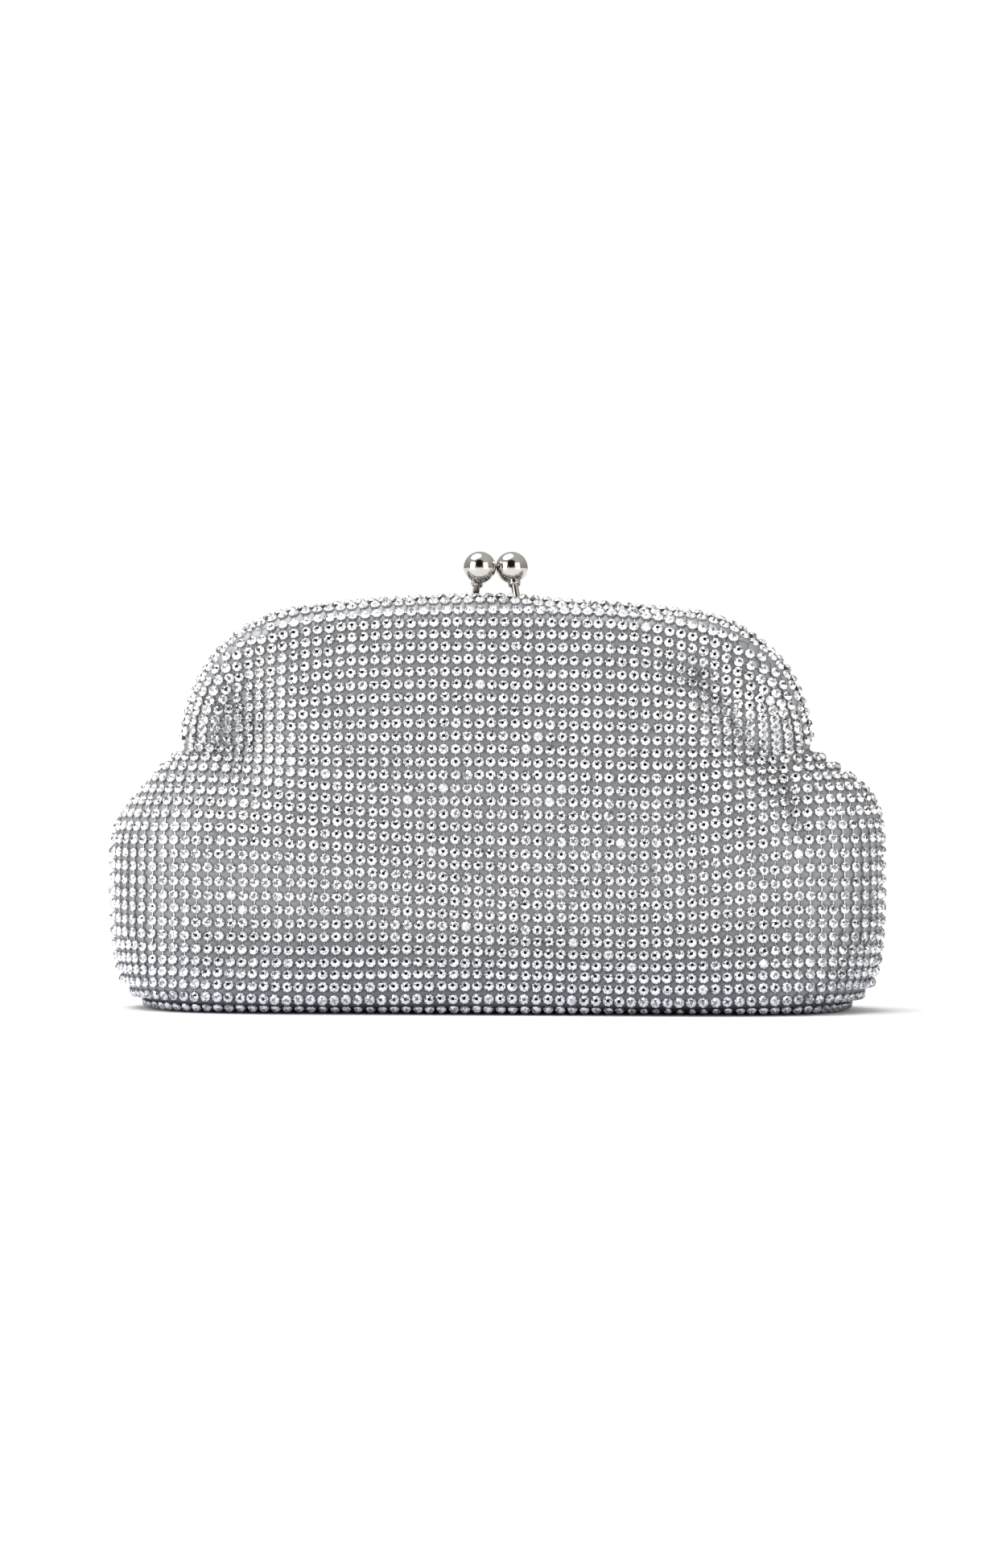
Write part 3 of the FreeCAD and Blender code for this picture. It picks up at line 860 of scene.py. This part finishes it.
def arch_rows(side):
    """Two rows of crystals that follow the arch, on the cloth's turn over the channel."""
    run = lengths_along(ARCH)
    count = int((run[-1] - ARCH_ROW_SPARE) / ACROSS_PITCH)
    found = []
    for inset, stand, lean in EDGE_ROWS:
        steps = np.arange(count) - (count - 1) / 2 + 0.4 * (lean > 0.3)
        at = run[-1] / 2 + steps * ACROSS_PITCH
        x, z = (np.interp(at, run, ARCH[:, k]) for k in (0, 1))
        ahead = np.stack([np.interp(at + 0.5, run, ARCH[:, k]) for k in (0, 1)], 1)
        along = np.stack([ahead[:, 0] - x, 0 * x, ahead[:, 1] - z], 1)
        along /= np.linalg.norm(along, axis=1, keepdims=True)
        out = np.stack([-along[:, 2], 0 * x, along[:, 0]], 1)
        out *= np.sign((out * np.stack([x, 0 * x, z - 60.0], 1)).sum(1))[:, None]
        x, z = x - out[:, 0] * inset, z - out[:, 2] * inset
        places = np.stack([x, side * (stand + 0 * x), z], 1)
        normal = out * math.cos(lean) + np.array([0.0, side * math.sin(lean), 0.0])
        found.append((places, along, np.cross(normal, along), normal))
    return [np.concatenate(parts) for parts in zip(*found)]


def base_row(side):
    """The row on the fold under the base's edge, which faces down and a little out."""
    t, _ = evenly_across(BASE_Z + 0.4, side)
    places, across, _, _ = surface_frame(np.full_like(t, BASE_Z + 0.6), t, side)
    out = np.cross(across, (0.0, 0.0, 1.0))
    out *= np.sign((out * places).sum(1))[:, None]
    places = places - out * BASE_ROW_INSET
    places[:, 2] = BASE_Z + 0.35
    normal = 0.5 * out + np.array([0.0, 0.0, -0.87])
    return places, across, np.cross(normal, across), normal


def crystal_side(half, side, crystals, links):
    """One side's crystals, and the bars between those that are neighbours in rows and columns."""
    keys, face = crystal_places(side)
    places, _, _, normal = face
    every = [np.concatenate(parts) for parts in zip(face, arch_rows(side), base_row(side))]
    made = set_crystals(f"{half}_crystals", *every, crystals, 3 + side, side)
    index = {key: i for i, key in enumerate(keys)}
    pairs = [
        (i, index[other], width)
        for (j, c), i in index.items()
        for other, width in (((j + 1, c), UP_LINK), ((j, c + 1), ACROSS_LINK))
        if other in index
    ]
    a, b, widths = np.array(pairs).T
    a, b = a.astype(int), b.astype(int)
    near = np.linalg.norm(places[b] - places[a], axis=1) < 1.5 * UP_PITCH
    a, b = a[near], b[near]
    bars = set_links(f"{half}_links", places[a], places[b], normal[a], widths[near], links)
    return made, bars


def make_base(cloth, crystals):
    """The mesh under the base, and the crystals that the bag stands on."""
    t = np.linspace(-math.pi / 2, math.pi / 2, 121)
    front, rear = (surface(np.full_like(t, BASE_Z), t, side) for side in (-1, 1))
    share = np.linspace(0, 1, 13)[:, None, None]
    grid = front[None] * (1 - share) + rear[None] * share
    grid[..., 2] = BASE_Z
    patches = Patches()
    patches.add(grid, grid[..., :2] / (ACROSS_PITCH, UP_PITCH), flip=True)
    sheet = thicken(patches.piece("base_mesh", cloth, smooth=False), MESH_THICKNESS)
    x, y = np.meshgrid(np.arange(-30, 31) * ACROSS_PITCH, (np.arange(-8, 8) + 0.5) * UP_PITCH)
    x, y = x.ravel(), y.ravel()
    width, depth = half_width(BASE_Z, 1) - BASE_MARGIN[0], half_depth(BASE_Z) - BASE_MARGIN[1]
    kept = np.abs(y) < depth * plan(np.abs(x) / width, BASE_Z)
    x, y = x[kept], y[kept]
    places = np.stack([x, y, 0 * x + BASE_Z + 0.08], 1)
    unit = np.ones((len(x), 1))
    made = set_crystals(
        "base_crystals", places, unit * (1, 0, 0), unit * (0, -1, 0), unit * (0, 0, -1), crystals, 9
    )
    return sheet, made


def lining_width(z):
    """Half width of the lining: inside the gussets, then inside the channel."""
    frame_width = arch_width(z, 1, INNER_ARCH)
    above = smoothstep(HINGE_Z - 3.0, HINGE_Z + 6.0, z)
    return (pouch_width(z) - LINING_INSET) * (1 - above) + frame_width * above


def lining_depth(x, z, side):
    """Distance of the lining from the mating plane; it is tucked behind the channel at the arch."""
    share = np.clip(np.abs(x) / np.maximum(lining_width(z), 1.0), 0.0, 1.0)
    pouch = (half_depth(z) - LINING_INSET) * plan(share, z)
    cover = np.maximum(cloth_depth(x, z, side) - LINING_INSET, CHANNEL_DEPTH)
    above = smoothstep(HINGE_Z - 2.0, HINGE_Z + 12.0, z)
    gather = 0.35 * np.sin(x * 0.9 + 1.7 * np.sin(z / 9.0)) * smoothstep(1.0, 0.9, share)
    return pouch * (1 - above) + cover * above - 0.8 * ripple(x, z, side) * (1 - share) - gather


def make_lining(half, side, material):
    """The satin inside one side, from the board up to the channel."""
    t = np.linspace(-math.pi / 2, math.pi / 2, 161)
    top = INNER_ARCH[:, 1].max()
    z = top - (top - LINING_LOW) * np.linspace(1.0, 0.02, 80) ** 1.5
    x = lining_width(z)[:, None] * np.sin(t)
    z = z[:, None] + 0 * x
    y = side * np.maximum(lining_depth(x.ravel(), z.ravel(), side).reshape(x.shape), 0.3)
    patches = Patches()
    patches.add(np.stack([x, y, z], -1), np.stack([x, z], -1), flip=side > 0)
    return thicken(patches.piece(f"{half}_lining_cloth", material), CLOTH_THICKNESS)


def make_base_lining(material):
    """The satin over the padded board."""
    t = np.linspace(-math.pi / 2, math.pi / 2, 121)
    front, rear = (surface(np.full_like(t, BASE_LINING_ROW), t, side) for side in (-1, 1))
    share = np.linspace(0, 1, 25)[:, None, None]
    grid = (front[None] * (1 - share) + rear[None] * share) * BASE_LINING_FIT
    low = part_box("lining_base")[1].z / MM
    grid[..., 2] = low + 0.35 * np.sin(grid[..., 0] / 11.0) * np.sin(grid[..., 1] / 6.0)
    patches = Patches()
    patches.add(grid, grid[..., :2], flip=False)
    return thicken(patches.piece("base_lining_cloth", material), CLOTH_THICKNESS)


def make_pocket(material):
    """The slip pocket on the rear lining: a flat panel with a turned hem along its open top."""
    low, high = (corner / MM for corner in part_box("slip_pocket"))
    x = np.linspace(low.x, high.x, 81)
    hem = high.z - np.array([5.8, 4.0, 2.0, 0.0])
    z = np.concatenate([np.linspace(low.z, high.z - POCKET_HEM, 26), hem])
    x, z = np.meshgrid(x, z)
    edge = np.minimum(np.minimum(x - low.x, high.x - x), z - low.z)
    stand = POCKET_STAND + 0.9 * smoothstep(0.0, 16.0, edge) * smoothstep(low.z, high.z, z)
    stand += POCKET_STAND * (z > high.z - 5.9)
    y = cloth_depth(x.ravel(), z.ravel(), 1).reshape(x.shape) - LINING_INSET - 0.4 - stand
    grid = np.stack([x, y, z], -1)
    patches = Patches()
    patches.add(grid, np.stack([x, z], -1), flip=False)
    return thicken(patches.piece("slip_pocket_cloth", material), CLOTH_THICKNESS)


def dress(node, material):
    """Gives a CAD node its material."""
    piece = bpy.data.objects[node]
    piece.data.materials.clear()
    piece.data.materials.append(material)
    return piece


cloth, crystal, link = cloth_material(), crystal_material(), link_material()
satin, nickel, paper = satin_material(), nickel_material(), paper_material()
frame_steel = steel_material("frame_steel", (0.62, 0.62, 0.63), 0.22)
rivet_steel = steel_material("rivet_steel", (0.74, 0.73, 0.71), 0.16)

for half, side in SIDES.items():
    mesh = make_cloth(half, side, cloth)
    stones, bars = crystal_side(half, side, crystal, link)
    inner = make_lining(half, side, satin)
    made = [mesh, stones, bars, inner]
    if half == "rear":
        pocket = make_pocket(satin)
        made.append(pocket)
    for piece in made:
        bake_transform(piece)
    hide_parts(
        f"{half}_cover",
        f"{half}_cover_wadding",
        f"{half}_fold",
        f"{half}_panel",
        f"wadding_{half}",
    )
    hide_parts(f"{half}_cover_lining", f"{half}_fold_lining", f"lining_{half}")
    dress(f"{half}_frame", frame_steel)
    dress(f"{half}_frame_cord", paper)
    for part in ("stem", "collar", "ball"):
        dress(f"{half}_clasp_{part}", nickel)

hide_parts("right_gusset_panel", "wadding_right_gusset")
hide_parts("left_gusset_panel", "wadding_left_gusset")
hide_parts("lining_right_gusset")
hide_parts("lining_left_gusset")
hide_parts("slip_pocket")

base_mesh, base_stones = make_base(cloth, crystal)
base_inner = make_base_lining(satin)
for piece in (base_mesh, base_stones, base_inner):
    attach(piece, "pouch")
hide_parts("base_panel")
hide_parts("lining_base")
dress("base_board", board_material())
for hand in ("left", "right"):
    dress(f"{hand}_hinge_rivet", rivet_steel)


# ---- floor, light and camera ----


def make_floor():
    """A plain pale floor, a hair below the crystals that the bag stands on."""
    n = Nodes("floor")
    shade = n.ramp(n.noise(3.0), [(0.3, (0.90, 0.905, 0.91)), (0.7, (0.92, 0.925, 0.93))])
    n.set(Base_Color=shade, Roughness=0.8)
    bpy.ops.mesh.primitive_plane_add(size=60.0, location=(0.0, 0.0, -0.0002))
    floor = bpy.context.object
    floor.name = "floor"
    floor.data.materials.append(n.material)


def make_world():
    """A white studio with a soft dark gap in front and above, which the metal reflects."""
    world = bpy.data.worlds.new("studio")
    world.use_nodes = True
    bpy.context.scene.world = world
    tree = world.node_tree
    tree.nodes.remove(tree.nodes["Background"])
    place = tree.nodes.new("ShaderNodeTexCoord").outputs["Generated"]

    def level(direction, near, far, low, high):
        """From low to high as the view turns away from a direction."""
        dot = tree.nodes.new("ShaderNodeVectorMath")
        dot.operation = "DOT_PRODUCT"
        dot.inputs[1].default_value = Vector(direction).normalized()
        tree.links.new(place, dot.inputs[0])
        fade = tree.nodes.new("ShaderNodeMapRange")
        fade.interpolation_type = "SMOOTHSTEP"
        bounds = (math.cos(math.radians(near)), math.cos(math.radians(far)), low, high)
        for name, value in zip(("From Min", "From Max", "To Min", "To Max"), bounds):
            fade.inputs[name].default_value = value
        tree.links.new(dot.outputs["Value"], fade.inputs["Value"])
        return fade.outputs["Result"]

    def background(value):
        node = tree.nodes.new("ShaderNodeBackground")
        if isinstance(value, float):
            node.inputs["Strength"].default_value = value
            node.inputs["Color"].default_value = (1.0, 1.0, 1.0, 1.0)
        else:
            tree.links.new(value, node.inputs["Strength"])
        return node.outputs[0]

    room = level((0.0, 0.0, 1.0), 100.0, 20.0, 0.46, 0.95)
    gap = level((0.0, -1.0, 0.60), 22.0, 36.0, 0.03, 1.0)
    product = tree.nodes.new("ShaderNodeMath")
    product.operation = "MULTIPLY"
    tree.links.new(room, product.inputs[0])
    tree.links.new(gap, product.inputs[1])
    seen = tree.nodes.new("ShaderNodeLightPath")
    mix = tree.nodes.new("ShaderNodeMixShader")
    tree.links.new(seen.outputs["Is Camera Ray"], mix.inputs[0])
    tree.links.new(background(product.outputs[0]), mix.inputs[1])
    tree.links.new(background(1.0), mix.inputs[2])
    tree.links.new(mix.outputs[0], tree.nodes["World Output"].inputs["Surface"])


def aim_at_bag(light):
    """Turns a light to the bag and adds it to the scene."""
    aim = Vector(LIGHT_AIM) - light.location
    light.rotation_euler = aim.to_track_quat("-Z", "Y").to_euler()
    bpy.context.collection.objects.link(light)


def add_panel(name, place, power):
    """A soft light in front of the bag."""
    lamp = bpy.data.lights.new(name, "AREA")
    lamp.shape = "RECTANGLE"
    lamp.size, lamp.size_y = PANEL_SIZE
    lamp.energy = power
    light = bpy.data.objects.new(name, lamp)
    light.location = place
    aim_at_bag(light)


def add_overhead():
    """A wide soft light from above that reaches the whole floor evenly."""
    lamp = bpy.data.lights.new("overhead", "SUN")
    lamp.energy, lamp.angle = OVERHEAD_STRENGTH, math.radians(OVERHEAD_ANGLE)
    light = bpy.data.objects.new("overhead", lamp)
    light.location = (-0.5, 0.1, 1.6)
    aim_at_bag(light)


def make_camera():
    """Nearly level, from a little to the right."""
    lens = bpy.data.cameras.new("camera")
    lens.sensor_width = 36.0
    lens.lens = 36.0 * CAMERA_DISTANCE / FRAME_HEIGHT
    camera = bpy.data.objects.new("camera", lens)
    turn, rise = math.radians(CAMERA_AZIMUTH), math.radians(CAMERA_ELEVATION)
    back = Vector((math.sin(turn) * math.cos(rise), -math.cos(turn) * math.cos(rise), math.sin(rise)))
    camera.location = Vector(CAMERA_AIM) + back * CAMERA_DISTANCE
    camera.rotation_euler = (-back).to_track_quat("-Z", "Y").to_euler()
    bpy.context.collection.objects.link(camera)
    bpy.context.scene.camera = camera


make_floor()
make_world()
add_overhead()
for panel in PANELS:
    add_panel(*panel)
make_camera()
bpy.context.scene.view_settings.view_transform = "Standard"
